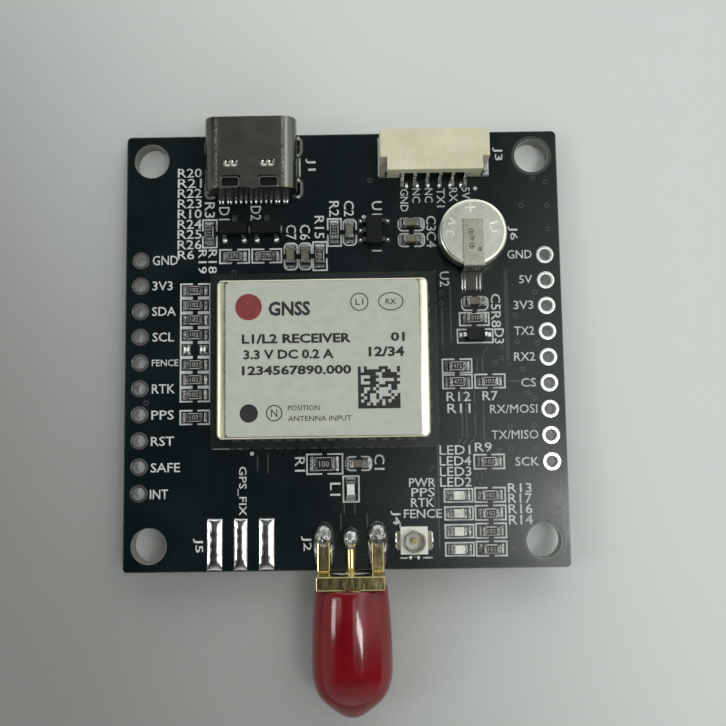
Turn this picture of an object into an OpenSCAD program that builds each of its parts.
/* [Board] */
// Thickness of the circuit board
board_t = 1.6; // [1:0.1:2.4]
// Radius of the board's corners
board_corner_r = 0.5; // [0.2:0.1:2]
// Diameter of a mounting hole
hole_d = 3.4; // [2.2:0.1:4]
// From the board's edge to a mounting hole's centre
hole_edge = 2.5; // [2.2:0.1:3.5]
// Thickness of the tinned copper pads
pad_t = 0.05; // [0.03:0.01:0.1]

/* [Pin headers] */
// Distance between neighbouring header holes
header_pitch = 2.54; // [2:0.01:2.54]
// Holes in the left row
left_count = 10; // [4:1:10]
// Holes in the right row
right_count = 9; // [4:1:10]
// Bore of a header hole
header_bore_d = 1.15; // [0.7:0.05:1.2]
// Outer diameter of a header hole's ring
header_ring_d = 1.7; // [1.5:0.05:2]
// Plating in a header hole
plating_t = 0.05; // [0.03:0.01:0.1]
// From the board's side to a row of holes
header_edge = 1.5; // [1.2:0.1:2]
// Printed space between the left row and the chips
label_space = 4.6; // [3:0.1:7]

/* [Receiver] */
// Width of the receiver's carrier
carrier_w = 22; // [16:0.5:26]
// Length of the receiver's carrier
carrier_l = 17; // [12:0.5:20]
// Thickness of the receiver's carrier
carrier_t = 0.8; // [0.6:0.1:1.2]
// Height of the shield can
shield_h = 1.5; // [1.3:0.1:3]
// Wall of the shield can
shield_wall = 0.15; // [0.1:0.05:0.25]
// Bare rim of the carrier around the can
shield_inset = 0.85; // [0.5:0.05:1.2]
// Rounding of the can's upper edges
shield_edge_r = 0.25; // [0.2:0.05:0.5]
// Thickness of the label on the can
label_t = 0.06; // [0.04:0.01:0.15]

/* [Port] */
// Width of the port's metal tube
port_w = 8.9; // [8:0.1:10]
// Height of the port's metal tube
port_h = 3.2; // [3:0.1:3.6]
// Length of the port's metal tube
port_l = 7.05; // [6:0.05:8.5]
// Wall of the port's metal tube
port_wall = 0.3; // [0.2:0.05:0.4]
// How far the port stands out past the board
port_overhang = 0.75; // [0.3:0.05:1.5]
// Thickness of the tongue in the port
tongue_t = 0.7; // [0.5:0.05:0.8]

/* [Cable header] */
// Distance between neighbouring pins
cable_pitch = 1.25; // [1:0.05:1.5]
// Number of pins
cable_count = 6; // [3:1:6]
// Depth of the housing
cable_d = 4.05; // [3.6:0.05:5]
// Height of the housing
cable_h = 2.5; // [2.2:0.1:3.2]
// Wall of the housing
cable_wall = 0.55; // [0.4:0.05:0.7]
// From the board's edge to the housing's mouth
cable_edge = 0.5; // [0:0.1:1]

/* [Backup cell] */
// Diameter of the cell
cell_d = 6.6; // [5.8:0.1:7.2]
// Height of the cell
cell_h = 2.1; // [1.6:0.1:2.6]
// Thickness of the cell's sheet metal
cell_wall = 0.2; // [0.15:0.05:0.3]
// Width of the welded tabs
tab_w = 2.05; // [1.2:0.05:2.4]
// Thickness of the welded tabs
tab_t = 0.15; // [0.1:0.01:0.2]

/* [Antenna jack] */
// Side of the square flange
flange_side = 6.35; // [6:0.05:8]
// Thickness of the flange
flange_t = 1.3; // [0.8:0.1:2]
// Diameter of the threaded barrel
barrel_d = 6.35; // [6:0.05:6.6]
// Length of the barrel beyond the flange
barrel_l = 8; // [6:0.1:9]
// Height of the jack's axis over the board
axis_rise = 0.45; // [0.35:0.01:0.6]
// Length of the legs that grip the board
leg_l = 4; // [3:0.1:5]
// Width of a leg
leg_w = 1.2; // [0.8:0.1:1.5]
// Height of a leg
leg_h = 1.1; // [0.8:0.1:1.4]

/* [Dust cap] */
// Length of the cap
cap_l = 12; // [11.5:0.1:15]
// Wall of the cap in its middle
cap_wall = 0.6; // [0.4:0.02:0.8]
// Wall of the cap's thin mouth
cap_lip = 0.2; // [0.15:0.05:0.4]
// Room between the cap and the thread
cap_fit = 0.05; // [0.03:0.01:0.15]

/* [Small parts] */
// Length of a small chip
chip_l = 1.6; // [1.2:0.1:1.8]
// Width of a small chip
chip_w = 0.8; // [0.5:0.05:0.9]
// Height of a resistor
resistor_h = 0.45; // [0.35:0.05:0.6]
// Height of a capacitor or coil
capacitor_h = 0.8; // [0.5:0.05:1]
// Length of a chip's metal end
chip_end = 0.3; // [0.2:0.05:0.4]
// Distance between neighbouring chips of the left bank
bank_pitch = 1.47; // [1.3:0.01:1.6]
// Distance between neighbouring lamps
lamp_pitch = 1.7; // [1.3:0.05:1.8]
// Gap between the receiver and the chips around it
chip_gap = 0.85; // [0.6:0.05:1.5]

/* [Hidden] */
$fn = 48;
eps = 0.01;
fit = 0.02;

// Solder: how far a pad runs past a chip's end, past its side and up the end
pad_out = 0.4;
pad_side = 0.06;
pad_in = 0.05;
fillet_h = 0.28;
fillet_steps = 4;

// Big resistor beside the antenna feed
big_l = 2.0;
big_w = 1.25;
big_h = 0.55;

// Dark coat on a resistor, in from its sides
coat_t = 0.05;
coat_in = 0.05;

// Moulded packages with gull-wing leads
lead_w = 0.4;
lead_t = 0.13;
lead_bend = 0.3;
lead_foot = 0.35;
sot_l = 2.9;
sot_w = 1.3;
sot_h = 1.0;
sot_wide = 1.6;
sot_pitch = 0.95;
sot_draft = 0.09;
sod_l = 1.8;
sod_w = 1.25;
sod_h = 1.0;
sot_span = sot_w + 2 * (lead_bend + lead_foot);

// Rows of parts beyond the receiver, from its edges to the board's edges
row_gap = 1.1;
row_step = 0.65;
port_clear = 1.5;
port_tail = 0.5;
feed_gap = 0.975;
coil_gap = 1.025;
jack_gap = 2.9;
lamp_gap = 0.95;
lamp_step = 1.5;
lamp_space = 5.3;

above = row_gap + chip_l + row_step + sot_span + port_clear + port_tail + port_l - port_overhang;
below = feed_gap + big_w + coil_gap + chip_l + jack_gap + leg_l;
left_of = header_edge + label_space + chip_l + chip_gap;
right_of = lamp_gap + 2 * chip_l + lamp_step + lamp_space + header_edge;
board_w = left_of + carrier_w + right_of;
board_l = below + carrier_l + above;

edge_x = board_w / 2;
edge_y = board_l / 2;
carrier_left = -edge_x + left_of;
carrier_right = carrier_left + carrier_w;
carrier_bottom = -edge_y + below;
carrier_top = carrier_bottom + carrier_l;
carrier_x = (carrier_left + carrier_right) / 2;
carrier_y = (carrier_bottom + carrier_top) / 2;
hole_x = edge_x - hole_edge;
hole_y = edge_y - hole_edge;

// Header rows
header_x = edge_x - header_edge;
header_rise = 1.64;
header_y = carrier_top + header_rise;
header_r = header_bore_d / 2;
drill_r = header_r + plating_t + fit;

// Receiver stack
pads_t = 0.1;
shield_w = carrier_w - 2 * shield_inset;
shield_l = carrier_l - 2 * shield_inset;
shield_corner_r = 0.6;
shield_z = pads_t + carrier_t;
label_side = 0.9;
label_end = 0.25;
label_r = 0.45;
carrier_r = 0.2;
land_margin = 4;
dash_margin = 3;
land_w = 0.8;
land_l = 1.3;
land_pitch = 1.1;
land_out = 0.12;
dash_l = 0.75;
dash_w = 0.22;
dash_h = 0.14;
dash_pitch = 1.3;

// Pieces under the shield, from the receiver's centre
inner_chip_in = 3;
inner_chip_side = 8;
inner_chip_h = 0.9;
oscillator_x = 4.5;
oscillator_y = 3.2;
oscillator_w = 2.5;
oscillator_l = 2;
oscillator_h = 0.8;
filter_x = 5;
filter_y = -4.2;
filter_pitch = 2.4;
filter_w = 1.4;
filter_l = 1.1;
filter_h = 0.6;

// Rows above and below the receiver
row1_y = carrier_top + row_gap + chip_l / 2;
row2_y = row1_y + chip_l / 2 + row_step + sot_span / 2;
port_rear = edge_y + port_overhang - port_l;
feed_y = carrier_bottom - feed_gap - big_w / 2;
coil_y = feed_y - big_w / 2 - coil_gap - chip_l / 2;
bank_x = carrier_left - chip_gap - chip_l / 2;
bank_drop = 1.45;
bank_y = carrier_top - bank_drop;
lamp_x = carrier_right + lamp_gap + chip_l / 2;
lamp_resistor_x = lamp_x + chip_l + lamp_step;
lamp_edge = 1.85;
lamp_y = -edge_y + lamp_edge;

// Port
port_in = 4.15;
port_x = carrier_left + port_in;
port_r = 1.25;
port_y = port_rear + port_l / 2;
port_inner_w = port_w - 2 * port_wall;
port_inner_h = port_h - 2 * port_wall;
plug_l = 2.1;
tongue_w = 6.69;
tongue_recess = 0.6;
tongue_z = port_h / 2;
contact_t = 0.1;
contact_w = 0.25;
contact_pitch = 0.5;
drop_y = 0.9;
tail_t = 0.15;
tail_at = [0.25, 0.75, 1.25, 1.75, 2.4, 3.2];
tail_w = [0.3, 0.3, 0.3, 0.3, 0.6, 0.6];
tail_room = 7.3;
tail_room_h = 0.5;
notch_at = 1.77;
notch_w = 1.75;
notch_l = 1.2;
dent_y = 2.45;
dent_r = 0.7;
dent_depth = 0.14;
dent_spread = 0.32;
port_leg_l = 1.1;
port_leg_out = 0.2;
port_leg_room = 0.2;
port_leg_rear = 0.8;
port_leg_front = 1.2;
port_leg_y = [port_leg_rear, port_l - port_overhang - port_leg_front];
port_leg_rim = 0.28;
port_leg_side = port_leg_room + port_leg_rim;

// Cable header
cable_out = 0.1;
cable_x = carrier_right + cable_out;
cable_ends = 4.5;
cable_w = (cable_count - 1) * cable_pitch + cable_ends;
cable_front = edge_y - cable_edge;
cable_rear = cable_front - cable_d;
cable_rear_wall = 1.1;
cable_pin = 0.32;
cable_pin_z = 1.2;
cable_tail = 0.95;
cable_pad = cable_tail + pad_out / 2;
cable_bend = 0.25;
cable_reach = 2.2;
cable_slot_w = 0.72;
cable_slot_l = 1.3;
cable_edge_r = 0.25;
cable_recess_d = 0.5;
cable_recess_side = 0.12;
cable_recess_w = (cable_count - 1) * cable_pitch + cable_pin + 2 * cable_recess_side;
cable_recess_h = cable_pin_z + cable_pin / 2 + fit;
nail_t = 0.2;
nail_h = 1.7;
nail_foot = 0.5;

// Backup cell
cell_side = 4;
cell_clear = 1.95;
cell_x = header_x - cell_side - cell_d / 2;
cell_y = cable_rear - cable_tail - cell_clear - cell_d / 2;
cell_r = cell_d / 2;
cell_z = pad_t + tab_t;
cell_top = cell_z + cell_h;
cell_edge_r = 0.3;
cell_base_in = 0.55;
cell_base_out = 0.35;
tab_start = 1.35;
tab_short = 1.2;
tab_out = 0.25;
tab_foot = 1.8;
foot_y = cell_y - cell_r - tab_out - tab_foot;

// Antenna jack
jack_out = 2.38;
jack_x = carrier_x + jack_out;
axis_z = board_t + axis_rise;
leg_at = (flange_side - leg_w) / 2;
barrel_r = barrel_d / 2;
flange_front = -edge_y - flange_t;
neck_l = 0.7;
neck_in = 0.4;
core_r = 2.05;
insulator_in = 0.3;
mouth_r = 2.3;
mouth_l = 1.9;
pin_r = 0.62;
pin_bore_r = 0.46;
pin_bore_l = 3;
pin_slot = 0.16;
tail_r = axis_rise - pad_t;
tail_l = 3.3;
leg_fillet_w = 0.5;
leg_fillet_h = 0.6;

// Dust cap
cap_gap = 0.1;
cap_bore_r = barrel_r + cap_fit;
cap_r = cap_bore_r + cap_wall;
cap_mouth_r = cap_bore_r + cap_lip;
cap_steps = 8;
cap_side = cap_l * 0.6;
cap_shoulder = cap_l * 0.85;
cap_room = 0.4;
cap_tip = 0.7;
cap_bore_l = barrel_l + cap_room;
cap_roof = cap_l - cap_tip;

// Pads of the antenna connector that is not fitted
spare_in = 2.8;
spare_x = carrier_left + spare_in;
spare_pitch = 2.5;
spare_l = 4.95;
spare_w = [1.55, 1.35, 1.55];
spare_t = 0.09;
spare_bevel = 0.2;
spare_edge = 0.1;

// Micro coax socket
coax_out = 6.07;
coax_edge = 2.75;
coax_x = jack_x + coax_out;
coax_y = -edge_y + coax_edge;
coax_side = 2.6;
coax_base_h = 0.4;
coax_h = 1.25;
coax_r = 1.0;
coax_wall = 0.13;
coax_lip = 0.06;
coax_pin_r = 0.25;
coax_pin_h = 0.95;
coax_tab_w = 1.8;
coax_tab_l = 0.35;

// Lamps
lamp_base_h = 0.3;
lamp_lens_h = 0.4;
lamp_lens_in = 0.08;

// Chips beside the port, from its middle
port_chip_out = 1.9;
port_chip_step = 3.2;
side_chip_out = 3.65;
side_chip_step = 1.45;
pull_chip_out = 4.4;
supply_out = 8;
supply_step = 1.5;
supply_drop = 0.35;
regulator_out = 11.95;
smoothing_out = 15.6;
smoothing_rise = 0.35;

// Chips below the cell, beside the receiver and along the antenna feed
cell_chip_out = 0.2;
cell_chip_drop = 1.1;
chip_step = 1.65;
side_resistor_out = 0.25;
side_resistor_rise = 6.15;
side_resistor_step = 1.55;
lone_drop = 2.2;
feed_resistor_out = 2.46;
feed_capacitor_out = 0.82;
coil_out = 0.07;

// Where the small parts stand: x, y and turn
bank_empty = 4;
bank_count = 8;
bank = [for (i = [0 : bank_count - 1]) [bank_x, bank_y - i * bank_pitch, 0]];
bank_sites = [for (i = [0 : bank_count - 1]) if (i != bank_empty) bank[i]];
lamp_sites = [for (i = [0 : 3]) [lamp_x, lamp_y + i * lamp_pitch, 0]];
resistor_sites = concat(
    bank_sites,
    [for (site = lamp_sites) [lamp_resistor_x, site[1], 0]],
    [[bank_x, bank[bank_count - 1][1] - lone_drop, 0],
     [port_x - port_chip_out, row1_y, 0],
     [port_x - port_chip_out + port_chip_step, row1_y, 0],
     [port_x + side_chip_out + 2 * side_chip_step, row1_y, 90],
     [port_x - pull_chip_out, row2_y - supply_drop, 90],
     [port_x + supply_out, row2_y - supply_drop, 90],
     [cell_x + cell_chip_out, foot_y - cell_chip_drop - chip_step, 0],
     [lamp_x + side_resistor_out, carrier_bottom + side_resistor_rise + side_resistor_step, 0],
     [lamp_x + side_resistor_out, carrier_bottom + side_resistor_rise, 0],
     [lamp_resistor_x + side_resistor_out, carrier_bottom + side_resistor_rise, 0],
     [lamp_resistor_x, feed_y, 0]]);
big_site = [jack_x - feed_resistor_out, feed_y, 0];
capacitor_sites = [
    [port_x + side_chip_out, row1_y, 90],
    [port_x + side_chip_out + side_chip_step, row1_y, 90],
    [port_x + supply_out + supply_step, row2_y - supply_drop, 90],
    [port_x + smoothing_out, row2_y + smoothing_rise, 0],
    [port_x + smoothing_out, row2_y + smoothing_rise - chip_step, 0],
    [cell_x + cell_chip_out, foot_y - cell_chip_drop, 0],
    [jack_x + feed_capacitor_out, feed_y, 0]];
coil_site = [jack_x + coil_out, coil_y, 90];
diode_sites = [for (i = [0, 1]) [port_x - port_chip_out + i * port_chip_step, row2_y, 0]];
power_diode_site = [cell_x + cell_chip_out, foot_y - cell_chip_drop - 2 * chip_step, 0];
regulator_site = [port_x + regulator_out, row2_y - supply_drop, 90];

// Shared shapes

// Block centred in plan, standing on z = 0
module block(w, l, h) {
    translate([-w / 2, -l / 2, 0]) cube([w, l, h]);
}

// Rectangle with round corners
module round_rect(w, l, r) {
    square([w - 2 * r, l], center = true);
    square([w, l - 2 * r], center = true);
    for (x = [-1, 1], y = [-1, 1])
        translate([x * (w / 2 - r), y * (l / 2 - r)]) circle(r);
}

// Slot with full round ends along Y
module slot(w, l) {
    square([w, l - w], center = true);
    for (y = [-1, 1])
        translate([0, y * (l - w) / 2]) circle(w / 2);
}

// Outline in the Y and Z plane drawn out along X
module along_x(w) {
    rotate([90, 0, 90]) linear_extrude(w, center = true) children();
}

// Outline in the X and Z plane drawn out along Y
module along_y(l) {
    rotate([90, 0, 0]) linear_extrude(l, center = true) children();
}

// Stand on the board's upper face at a site
module on_board(site, lift = 0) {
    translate([site[0], site[1], board_t + lift]) rotate(site[2]) children();
}

// Lie on the jack's axis, with z = 0 at the flange's front and z growing away from the board
module on_axis() {
    translate([jack_x, flange_front, axis_z]) rotate([90, 0, 0]) children();
}

// Points of a quadratic curve without its first point
function curve(a, b, c, steps) = [
    for (i = [1 : steps]) let (t = i / steps) (1 - t) * (1 - t) * a + 2 * t * (1 - t) * b + t * t * c
];

// Hollow rise of solder from a pad's outer end to a metal face
function rise(reach, height) = [
    for (i = [0 : fillet_steps]) let (turn = 90 * i / fillet_steps)
        [reach * (1 - sin(turn)), height * (1 - cos(turn))]
];

// Both ends of a chip that lies along X
module both_ends() {
    children();
    mirror([1, 0, 0]) children();
}

// Metal ends of a chip
module chip_ends(l, w, h) {
    both_ends() translate([(l - chip_end) / 2, 0, 0]) block(chip_end, w, h);
}

// Pad and solder under and beside one end of a chip
module chip_joint(l, w) {
    inner = l / 2 - chip_end - pad_in;
    slope = [for (p = rise(pad_out, fillet_h)) [l / 2 + p[0], pad_t + p[1]]];
    along_y(w + 2 * pad_side) polygon(concat(
        [[inner, pad_t], [inner, 0], [l / 2 + pad_out, 0]],
        slope,
        [[l / 2, pad_t]]));
}

// Bare tinned pad of a chip that is not fitted
module bare_joint(l, w) {
    inner = l / 2 - chip_end - pad_in;
    dome = fillet_h / 2;
    along_y(w + 2 * pad_side) polygon([
        [inner, 0], [l / 2 + pad_out, 0], [l / 2 + pad_out, pad_t],
        [l / 2 + pad_out / 2, dome], [inner + pad_out / 2, dome], [inner, pad_t]]);
}

// Moulded package with sloping sides, parted at half its height
module moulded(l, w, h) {
    half = h / 2;
    intersection() {
        along_y(w) polygon([
            [-l / 2 + sot_draft, 0], [l / 2 - sot_draft, 0], [l / 2, half],
            [l / 2 - sot_draft, h], [-l / 2 + sot_draft, h], [-l / 2, half]]);
        along_x(l) polygon([
            [-w / 2 + sot_draft, 0], [w / 2 - sot_draft, 0], [w / 2, half],
            [w / 2 - sot_draft, h], [-w / 2 + sot_draft, h], [-w / 2, half]]);
    }
}

// Gull-wing lead along Y, starting at the package's parting line, y = 0
module gull(w, h) {
    mid = h / 2 + lead_t / 2;
    along_x(w) polygon([
        [0, mid - lead_t], [0, mid], [lead_bend, mid], [lead_bend, lead_t],
        [lead_bend + lead_foot, lead_t], [lead_bend + lead_foot, 0],
        [lead_bend - lead_t, 0], [lead_bend - lead_t, mid - lead_t]]);
}

// Leads along both sides of a package: x of each lead on the +Y side and on the -Y side
module lead_rows(w, h, up, down) {
    for (x = up)
        translate([x, w / 2, 0]) gull(lead_w, h);
    for (x = down)
        translate([x, -w / 2, 0]) rotate(180) gull(lead_w, h);
}

// Pads under gull-wing feet
module lead_pads(w, up, down) {
    reach = lead_foot + pad_out / 2;
    centre = w / 2 + lead_bend - lead_t / 2 + reach / 2;
    for (x = up)
        translate([x, centre, 0]) block(lead_w + 2 * pad_side, reach, pad_t);
    for (x = down)
        translate([x, -centre, 0]) block(lead_w + 2 * pad_side, reach, pad_t);
}

// Circuit board

module circuit_board() color("#15181a") difference() {
    linear_extrude(board_t) round_rect(board_w, board_l, board_corner_r);
    for (x = [-1, 1], y = [-1, 1])
        translate([x * hole_x, y * hole_y, -eps]) cylinder(h = board_t + 2 * eps, d = hole_d);
    header_places(-1, left_count) translate([0, 0, -eps]) cylinder(h = board_t + 2 * eps, r = drill_r);
    header_places(1, right_count) translate([0, 0, -eps]) cylinder(h = board_t + 2 * eps, r = drill_r);
    port_leg_places() translate([0, 0, -eps]) linear_extrude(board_t + 2 * eps) port_leg_slot();
}

module header_places(side, count) {
    for (i = [0 : count - 1])
        translate([side * header_x, header_y - i * header_pitch, 0]) children();
}

// Plated hole with a ring on both faces
module eyelet() {
    ring = header_ring_d / 2;
    wall = header_r + plating_t;
    rotate_extrude() polygon([
        [header_r, -pad_t], [ring, -pad_t], [ring, 0], [wall, 0],
        [wall, board_t], [ring, board_t], [ring, board_t + pad_t], [header_r, board_t + pad_t]]);
}

module left_header_pads() color("#8f9396") header_places(-1, left_count) eyelet();

module right_header_pads() color("#c9cbc8") header_places(1, right_count) eyelet();

// Three tinned strips with sloping sides
module spare_antenna_pads() color("#e3e4df") for (i = [0 : 2]) {
    half = spare_w[i] / 2;
    translate([spare_x + (i - 1) * spare_pitch, -edge_y + spare_edge + spare_l / 2, board_t])
        along_y(spare_l) polygon([
            [-half, 0], [half, 0], [half - spare_bevel, spare_t], [-half + spare_bevel, spare_t]]);
}

// Port

module port_leg_places() {
    for (x = [-1, 1], y = port_leg_y)
        translate([port_x + x * (port_w - port_wall) / 2, port_rear + y, 0]) children();
}

module port_leg_slot() {
    slot(port_wall + 2 * port_leg_room, port_leg_l + 2 * port_leg_room);
}

// Stamped tube: two notches and two dents in its roof, an open rear floor and four legs
module port_tube() color("#6d6c66") {
    difference() {
        translate([port_x, port_y, board_t + port_h / 2]) along_y(port_l) difference() {
            round_rect(port_w, port_h, port_r);
            round_rect(port_inner_w, port_inner_h, port_r - port_wall);
        }
        for (x = [-1, 1]) {
            translate([port_x + x * notch_at, port_rear + notch_l / 2, board_t + port_h / 2])
                block(notch_w, notch_l + eps, port_h);
            for (s = [-1, 1])
                translate([port_x + x * notch_at + s * dent_spread, port_rear + dent_y,
                        board_t + port_h + dent_r - dent_depth])
                    sphere(dent_r);
        }
        translate([port_x, port_rear + plug_l / 2, board_t - eps])
            block(tail_room, plug_l + eps, tail_room_h);
    }
    port_leg_places() translate([0, 0, -port_leg_out])
        block(port_wall, port_leg_l, board_t + port_h / 2 + port_leg_out);
}

// Plug that closes the tube's rear, with the tongue in front
module port_insulator() color("#1b1b1c") difference() {
    translate([port_x, port_rear, board_t]) {
        translate([0, plug_l / 2 + eps, port_h / 2]) along_y(plug_l - 2 * eps)
            round_rect(port_inner_w - 2 * fit, port_inner_h - 2 * fit, port_r - port_wall - fit);
        translate([0, plug_l / 2, 0]) block(tail_room - 2 * fit, plug_l - 2 * fit, port_h / 2);
        translate([0, (plug_l + port_l - tongue_recess) / 2, tongue_z - tongue_t / 2])
            block(tongue_w, port_l - tongue_recess - plug_l + 2 * eps, tongue_t);
    }
    port_contacts();
}

// One contact: strip on the tongue, jog and drop inside the plug, tail on the board
module port_contact(i) {
    strip_x = contact_pitch * (i + 0.5);
    low = min(strip_x - contact_w / 2, tail_at[i] - tail_w[i] / 2);
    high = max(strip_x + contact_w / 2, tail_at[i] + tail_w[i] / 2);
    strip_z = tongue_z + tongue_t / 2;
    strip_l = port_l - tongue_recess - drop_y - contact_w;
    translate([strip_x, drop_y + strip_l / 2, strip_z]) block(contact_w, strip_l, contact_t);
    translate([low, drop_y, pad_t]) cube([high - low, tail_t, strip_z + contact_t - pad_t]);
    translate([tail_at[i], (drop_y + tail_t - port_tail) / 2, pad_t])
        block(tail_w[i], drop_y + tail_t + port_tail, tail_t);
}

module port_contacts() color("#cdb35c") translate([port_x, port_rear, board_t])
    for (i = [0 : len(tail_at) - 1])
        both_ends() port_contact(i);

// Tinned rims round the slots on both faces
module port_leg_pads() color("#d6d8d4") for (z = [-pad_t, board_t])
    port_leg_places() translate([0, 0, z]) linear_extrude(pad_t) difference() {
        slot(port_wall + 2 * port_leg_side, port_leg_l + 2 * port_leg_side);
        port_leg_slot();
    }

// Cable header

module cable_pin_places() {
    for (i = [0 : cable_count - 1])
        translate([cable_x + (i - (cable_count - 1) / 2) * cable_pitch, cable_rear, board_t]) children();
}

// Open-fronted housing with slots for the fitting tabs and a recess where the pins come out
module cable_header_housing() color("#d9d3b4") difference() {
    translate([cable_x, (cable_rear + cable_front) / 2, board_t]) intersection() {
        block(cable_w, cable_d, cable_h);
        linear_extrude(cable_h) round_rect(cable_w, cable_d, cable_edge_r);
        translate([0, 0, cable_h / 2]) along_y(cable_d) round_rect(cable_w, cable_h, cable_edge_r);
    }
    translate([cable_x, cable_rear + cable_rear_wall + cable_d / 2, board_t + cable_wall])
        block(cable_w - 2 * cable_slot_w - 2 * fit, cable_d, cable_h - 2 * cable_wall);
    for (x = [-1, 1])
        translate([cable_x + x * (cable_w - cable_slot_w) / 2,
                cable_rear + cable_slot_l / 2, board_t - eps])
            block(cable_slot_w + 2 * eps, cable_slot_l + 2 * eps, cable_h + 2 * eps);
    translate([cable_x, cable_rear + cable_recess_d / 2 - eps, board_t - eps])
        block(cable_recess_w, cable_recess_d + 2 * eps, cable_recess_h + eps);
    cable_header_pins();
}

// Square pins through the rear wall, bent down to the board
module cable_header_pins() color("#cfcfc8") cable_pin_places() {
    low = cable_pin_z - cable_pin / 2;
    along_x(cable_pin) polygon([
        [cable_rear_wall + cable_reach, low], [cable_rear_wall + cable_reach, low + cable_pin],
        [-cable_bend, low + cable_pin], [-cable_bend, pad_t + tail_t], [-cable_tail, pad_t + tail_t],
        [-cable_tail, pad_t], [-cable_bend + cable_pin, pad_t], [-cable_bend + cable_pin, pad_t + tail_t],
        [0, pad_t + tail_t], [0, low]]);
}

// Bent plates that hold the housing down
module cable_header_tabs() color("#d8d8d2") for (x = [-1, 1])
    translate([cable_x + x * (cable_w / 2 - cable_slot_w + nail_t / 2),
            cable_rear + cable_slot_l / 2, board_t])
        mirror([x < 0 ? 1 : 0, 0, 0]) {
            translate([0, 0, pad_t]) block(nail_t, cable_slot_l - 2 * fit, nail_h);
            translate([nail_t / 2 + nail_foot / 2 - eps, 0, pad_t])
                block(nail_foot + eps, cable_slot_l - 2 * fit, nail_t);
        }

// Receiver

module receiver_place(lift = 0) {
    translate([carrier_x, carrier_y, board_t + lift]) children();
}

// Even places along an edge of a given length
function spread(length, pitch) = let (count = floor(length / pitch))
    [for (i = [0 : count]) (i - count / 2) * pitch];

module receiver_carrier() color("#20241f") receiver_place(pads_t)
    linear_extrude(carrier_t) round_rect(carrier_w, carrier_l, carrier_r);

// Solder lands under the carrier's rim
module receiver_lands() color("#c4c6c0") receiver_place() {
    for (x = spread(carrier_w - land_margin, land_pitch), y = [-1, 1])
        translate([x, y * (carrier_l / 2 + land_out - land_l / 2), 0]) block(land_w, land_l, pads_t);
    for (x = [-1, 1], y = spread(carrier_l - land_margin, land_pitch))
        translate([x * (carrier_w / 2 + land_out - land_l / 2), y, 0]) block(land_l, land_w, pads_t);
}

// Box with round corners in plan and round upper edges
module can_form(w, l, h, corner, edge) {
    intersection() {
        linear_extrude(h) round_rect(w, l, corner);
        translate([0, 0, h / 2 - edge]) along_y(l) round_rect(w, h + 2 * edge, edge);
        translate([0, 0, h / 2 - edge]) along_x(w) round_rect(l, h + 2 * edge, edge);
    }
}

// Drawn can, open below
module receiver_shield() color("#b9a77a") receiver_place(shield_z) difference() {
    can_form(shield_w, shield_l, shield_h, shield_corner_r, shield_edge_r);
    translate([0, 0, -eps]) linear_extrude(shield_h - shield_wall + eps)
        round_rect(shield_w - 2 * shield_wall, shield_l - 2 * shield_wall, shield_corner_r - shield_wall);
}

// Short lines of solder that hold the can to the carrier
module shield_solder() color("#d7d2b8") receiver_place(shield_z) {
    for (x = spread(shield_w - dash_margin, dash_pitch), y = [-1, 1])
        translate([x, y * (shield_l + dash_w) / 2, 0]) block(dash_l, dash_w, dash_h);
    for (x = [-1, 1], y = spread(shield_l - dash_margin, dash_pitch))
        translate([x * (shield_w + dash_w) / 2, y, 0]) block(dash_w, dash_l, dash_h);
}

module receiver_label() color("#c9c6b6") receiver_place(shield_z + shield_h)
    linear_extrude(label_t) round_rect(shield_w - 2 * label_side, shield_l - 2 * label_end, label_r);

// Pieces under the can
module receiver_chip() color("#222325") receiver_place(shield_z)
    translate([-inner_chip_in, 0, 0]) block(inner_chip_side, inner_chip_side, inner_chip_h);

module receiver_oscillator() color("#cfc9b0") receiver_place(shield_z)
    translate([oscillator_x, oscillator_y, 0]) block(oscillator_w, oscillator_l, oscillator_h);

module receiver_filters() color("#a9a493") receiver_place(shield_z) for (i = [0, 1])
    translate([filter_x, filter_y + i * filter_pitch, 0]) block(filter_w, filter_l, filter_h);

// Backup cell

module cell_place(lift = 0) {
    translate([cell_x, cell_y, board_t + lift]) children();
}

// Drawn can, open below, with a round upper edge
module cell_can() color("#b7b6ab") cell_place(cell_z + cell_base_out) rotate_extrude() {
    high = cell_h - cell_base_out;
    edge = [for (i = [0 : 4]) let (turn = 22.5 * i)
        [cell_r - cell_edge_r * (1 - cos(turn)), high - cell_edge_r * (1 - sin(turn))]];
    polygon(concat(
        [[0, high - cell_wall], [cell_r - cell_wall, high - cell_wall],
            [cell_r - cell_wall, 0], [cell_r, 0]],
        edge,
        [[0, high]]));
}

// Seal between the two cups
module cell_gasket() color("#3a3a3a") cell_place(cell_z + cell_base_out) rotate_extrude()
    translate([cell_r - cell_base_in + fit, 0])
        square([cell_base_in - cell_wall - 2 * fit, cell_h - cell_base_out - cell_wall]);

module cell_base() color("#a5a49b") cell_place(cell_z)
    cylinder(h = cell_h - cell_wall, r = cell_r - cell_base_in);

// Strip welded on the can, bent down to its pad
module cell_top_tab() color("#bdbbae") cell_place() {
    bend = -cell_r - tab_out;
    along_x(tab_w) polygon([
        [tab_start, cell_top], [tab_start, cell_top + tab_t], [bend, cell_top + tab_t],
        [bend, pad_t + tab_t], [bend - tab_foot, pad_t + tab_t], [bend - tab_foot, pad_t],
        [bend + tab_t, pad_t], [bend + tab_t, cell_top]]);
}

module cell_bottom_tab() color("#bdbbae") cell_place(pad_t) block(tab_w, cell_d - tab_short, tab_t);

// Antenna jack

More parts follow.
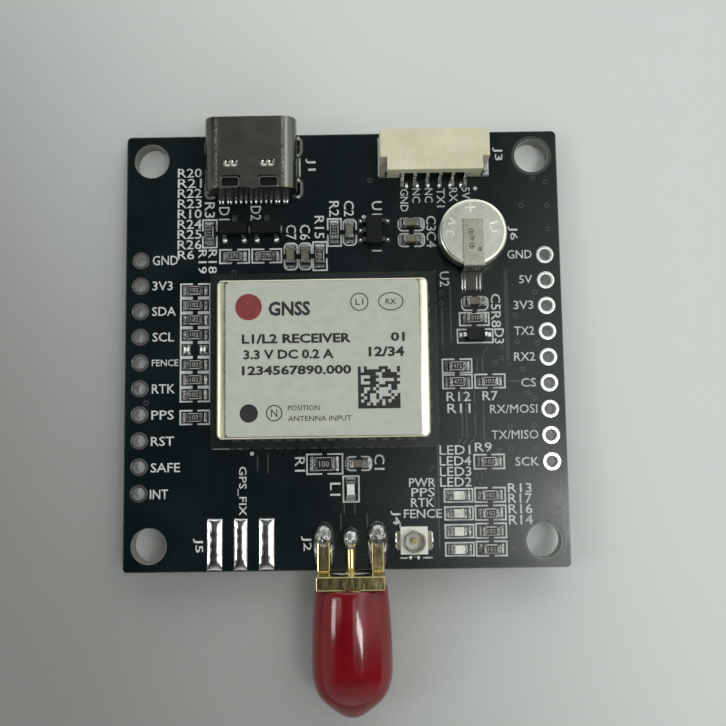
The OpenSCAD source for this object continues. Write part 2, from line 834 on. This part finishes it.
// Square flange, threaded barrel with a relief neck, and two pairs of legs
module antenna_jack() color("#a48b4a") {
    difference() {
        union() {
            on_axis() rotate_extrude() polygon([
                [core_r + fit, -flange_t], [barrel_r - neck_in, -flange_t],
                [barrel_r - neck_in, neck_l], [barrel_r, neck_l + neck_in],
                [barrel_r, barrel_l - neck_in], [barrel_r - neck_in, barrel_l],
                [mouth_r, barrel_l], [mouth_r, barrel_l - mouth_l], [core_r + fit, barrel_l - mouth_l]]);
            translate([jack_x, flange_front + flange_t / 2, axis_z]) along_y(flange_t)
                square(flange_side, center = true);
            for (x = [-1, 1]) {
                translate([jack_x + x * leg_at, -edge_y + leg_l / 2 - eps, board_t + pad_t])
                    block(leg_w, leg_l + 2 * eps, leg_h);
                translate([jack_x + x * leg_at, -edge_y + leg_l / 2 - eps, -pad_t - leg_h])
                    block(leg_w, leg_l + 2 * eps, leg_h);
            }
        }
        on_axis() translate([0, 0, -flange_t - eps]) cylinder(h = flange_t + 2 * eps, r = core_r + fit);
    }
}

module jack_insulator() color("#e8e6df") on_axis() rotate_extrude()
    translate([pin_r + fit, insulator_in - flange_t])
        square([core_r - pin_r - fit, barrel_l - mouth_l + flange_t - insulator_in]);

// Slotted socket in front, round tail on the board behind
module jack_contact() color("#c9a94e") on_axis() difference() {
    union() {
        translate([0, 0, -flange_t]) cylinder(h = barrel_l - mouth_l + flange_t, r = pin_r);
        translate([0, 0, -flange_t - tail_l]) cylinder(h = tail_l + eps, r = tail_r);
    }
    translate([0, 0, barrel_l - mouth_l - pin_bore_l]) {
        cylinder(h = pin_bore_l + eps, r = pin_bore_r);
        block(pin_slot, 2 * pin_r + eps, pin_bore_l + eps);
    }
}

// Pad under a leg with solder rising along both of its sides
module leg_joint(l) {
    slope = rise(leg_fillet_w, leg_fillet_h);
    side = [for (p = slope) [leg_w / 2 + p[0], pad_t + p[1]]];
    reach = leg_w / 2 + leg_fillet_w;
    along_y(l) polygon(concat(
        [[-reach, 0], [reach, 0]],
        side,
        [[leg_w / 2, pad_t], [-leg_w / 2, pad_t]],
        [for (i = [len(side) - 1 : -1 : 0]) [-side[i][0], side[i][1]]]));
}

module jack_solder() color("#d2d2c8") {
    for (x = [-1, 1]) {
        translate([jack_x + x * leg_at, -edge_y + leg_l / 2, board_t]) leg_joint(leg_l);
        translate([jack_x + x * leg_at, -edge_y + leg_l / 2, 0]) mirror([0, 0, 1]) leg_joint(leg_l);
    }
    difference() {
        translate([jack_x, -edge_y + tail_l / 2, board_t]) along_y(tail_l - 2 * fit) polygon([
            [-2 * tail_r, 0], [2 * tail_r, 0], [2 * tail_r, pad_t],
            [tail_r, axis_rise], [-tail_r, axis_rise], [-2 * tail_r, pad_t]]);
        on_axis() translate([0, 0, -flange_t - tail_l - eps])
            cylinder(h = tail_l + 2 * eps, r = tail_r + eps);
    }
}

// Soft cap with a thin mouth, swelling sides and a pointed end
module dust_cap() color("#8a1c22") on_axis() translate([0, 0, cap_gap]) rotate_extrude() {
    nose = cap_r * 0.78;
    outer = concat(
        [[cap_mouth_r, 0]],
        curve([cap_mouth_r, 0], [cap_r, cap_side * 0.42], [cap_r, cap_side], cap_steps),
        curve([cap_r, cap_side], [cap_r, cap_l * 0.8], [nose, cap_shoulder], cap_steps),
        curve([nose, cap_shoulder], [cap_r * 0.32, cap_l], [0, cap_l], cap_steps));
    inner = concat(
        curve([0, cap_roof], [cap_bore_r * 0.5, cap_roof],
            [cap_bore_r * 0.8, cap_shoulder - cap_wall], cap_steps),
        [[cap_bore_r, cap_bore_l], [cap_bore_r, 0]]);
    polygon(concat(outer, [[0, cap_roof]], inner));
}

// Micro coax socket

module coax_base() color("#d8d4c2") difference() {
    on_board([coax_x, coax_y, 0]) block(coax_side, coax_side, coax_base_h);
    on_board([coax_x, coax_y, 0], pad_t) cylinder(h = coax_h, r = coax_pin_r + fit);
    coax_ring();
}

// Round outer contact with a rolled lip and two side tabs
module coax_ring() color("#b9b6a6") on_board([coax_x, coax_y, 0]) {
    rotate_extrude() polygon([
        [coax_r - coax_wall, coax_base_h / 2], [coax_r, coax_base_h / 2],
        [coax_r, coax_h - 4 * coax_lip], [coax_r + coax_lip, coax_h - 3 * coax_lip],
        [coax_r + coax_lip, coax_h - coax_lip], [coax_r, coax_h], [coax_r - coax_wall, coax_h]]);
    both_ends() translate([(coax_r + coax_side / 2 + coax_tab_l) / 2 - coax_wall / 4, 0, pad_t])
        block(coax_side / 2 + coax_tab_l - coax_r + coax_wall / 2, coax_tab_w, coax_base_h / 2);
}

module coax_pin() color("#c9a94e") on_board([coax_x, coax_y, 0], pad_t)
    cylinder(h = coax_pin_h, r = coax_pin_r);

// Chips

module resistor_body(l, w, h) {
    block(l - 2 * chip_end, w, h - coat_t);
}

module resistor_coat(l, w, h) {
    translate([0, 0, h - coat_t]) block(l - 2 * chip_end, w - 2 * coat_in, coat_t);
}

module resistor_bodies() color("#e9e7e0") for (site = resistor_sites)
    on_board(site, pad_t) resistor_body(chip_l, chip_w, resistor_h);

module resistor_coats() color("#1a1b1d") for (site = resistor_sites)
    on_board(site, pad_t) resistor_coat(chip_l, chip_w, resistor_h);

module resistor_terminals() color("#cfd0cc") for (site = resistor_sites)
    on_board(site, pad_t) chip_ends(chip_l, chip_w, resistor_h);

module big_resistor_body() color("#e9e7e0") on_board(big_site, pad_t) resistor_body(big_l, big_w, big_h);

module big_resistor_coat() color("#1a1b1d") on_board(big_site, pad_t) resistor_coat(big_l, big_w, big_h);

module big_resistor_terminals() color("#cfd0cc") on_board(big_site, pad_t) chip_ends(big_l, big_w, big_h);

module capacitor_bodies() color("#8d7a5e") for (site = capacitor_sites)
    on_board(site, pad_t) block(chip_l - 2 * chip_end, chip_w - 2 * coat_in, capacitor_h - coat_in);

module capacitor_terminals() color("#cfd0cc") for (site = capacitor_sites)
    on_board(site, pad_t) chip_ends(chip_l, chip_w, capacitor_h);

module coil_body() color("#d9d8d2") on_board(coil_site, pad_t)
    block(chip_l - 2 * chip_end, chip_w - 2 * coat_in, capacitor_h - coat_in);

module coil_terminals() color("#cfd0cc") on_board(coil_site, pad_t)
    chip_ends(chip_l, chip_w, capacitor_h);

module lamp_bases() color("#e6e4d8") for (site = lamp_sites)
    on_board(site, pad_t) block(chip_l - 2 * chip_end, chip_w, lamp_base_h);

// Clear moulding with sloping ends
module lamp_lenses() color("#dcd8b8") for (site = lamp_sites) {
    half = chip_l / 2 - chip_end;
    on_board(site, pad_t + lamp_base_h) along_y(chip_w - lamp_lens_in) polygon([
        [-half, 0], [half, 0], [half - lamp_lens_in, lamp_lens_h], [-half + lamp_lens_in, lamp_lens_h]]);
}

module lamp_terminals() color("#cdbb7a") for (site = lamp_sites)
    on_board(site, pad_t) chip_ends(chip_l, chip_w, lamp_base_h);

// Packages with leads

module diode_bodies() color("#202123") for (site = diode_sites)
    on_board(site, pad_t) moulded(sot_l, sot_w, sot_h);

module diode_leads() color("#c3c4c0") for (site = diode_sites)
    on_board(site, pad_t) lead_rows(sot_w, sot_h, [0], [-sot_pitch, sot_pitch]);

module power_diode_body() color("#202123") on_board(power_diode_site, pad_t) moulded(sod_l, sod_w, sod_h);

module power_diode_leads() color("#c3c4c0") on_board(power_diode_site, pad_t)
    rotate(90) lead_rows(sod_l, sod_h, [0], [0]);

module regulator_body() color("#202123") on_board(regulator_site, pad_t) moulded(sot_l, sot_wide, sot_h);

module regulator_leads() color("#c3c4c0") on_board(regulator_site, pad_t)
    lead_rows(sot_wide, sot_h, [-sot_pitch, 0, sot_pitch], [-sot_pitch, sot_pitch]);

// Solder

module chip_solder() color("#d9dad6") {
    for (site = concat(resistor_sites, capacitor_sites, [coil_site], lamp_sites))
        on_board(site) both_ends() chip_joint(chip_l, chip_w);
    on_board(big_site) both_ends() chip_joint(big_l, big_w);
    on_board(bank[bank_empty]) both_ends() bare_joint(chip_l, chip_w);
}

// Pads under the leads, tails, tabs and feet
module lead_solder() color("#d9dad6") {
    for (site = diode_sites)
        on_board(site) lead_pads(sot_w, [0], [-sot_pitch, sot_pitch]);
    on_board(power_diode_site) rotate(90) lead_pads(sod_l, [0], [0]);
    on_board(regulator_site) lead_pads(sot_wide, [-sot_pitch, 0, sot_pitch], [-sot_pitch, sot_pitch]);
    translate([port_x, port_rear - port_tail / 2, board_t]) for (i = [0 : len(tail_at) - 1])
        both_ends() translate([tail_at[i], 0, 0]) block(tail_w[i], port_tail, pad_t);
    cable_pin_places() translate([0, -cable_pad / 2, 0])
        block(cable_pin + 2 * pad_side, cable_pad, pad_t);
    for (x = [-1, 1])
        translate([cable_x + x * (cable_w - cable_slot_w) / 2, cable_rear + cable_slot_l / 2, board_t])
            block(cable_slot_w, cable_slot_l - 2 * fit, pad_t);
    cell_place() translate([0, -cell_r - tab_out - tab_foot / 2, 0])
        block(tab_w + 2 * pad_side, tab_foot, pad_t);
    cell_place() block(tab_w, tab_w, pad_t);
    on_board([coax_x, coax_y, 0]) both_ends() translate([(coax_side + coax_tab_l) / 2, 0, 0])
        block(coax_tab_l, coax_tab_w, pad_t);
    on_board([coax_x, coax_y - (coax_side + pad_out) / 2, 0]) block(chip_w, pad_out, pad_t);
}

circuit_board();
left_header_pads();
right_header_pads();
spare_antenna_pads();
port_tube();
port_insulator();
port_contacts();
port_leg_pads();
cable_header_housing();
cable_header_pins();
cable_header_tabs();
receiver_carrier();
receiver_lands();
receiver_shield();
shield_solder();
receiver_label();
receiver_chip();
receiver_oscillator();
receiver_filters();
cell_can();
cell_gasket();
cell_base();
cell_top_tab();
cell_bottom_tab();
antenna_jack();
jack_insulator();
jack_contact();
jack_solder();
dust_cap();
coax_base();
coax_ring();
coax_pin();
resistor_bodies();
resistor_coats();
resistor_terminals();
big_resistor_body();
big_resistor_coat();
big_resistor_terminals();
capacitor_bodies();
capacitor_terminals();
coil_body();
coil_terminals();
lamp_bases();
lamp_lenses();
lamp_terminals();
diode_bodies();
diode_leads();
power_diode_body();
power_diode_leads();
regulator_body();
regulator_leads();
chip_solder();
lead_solder();
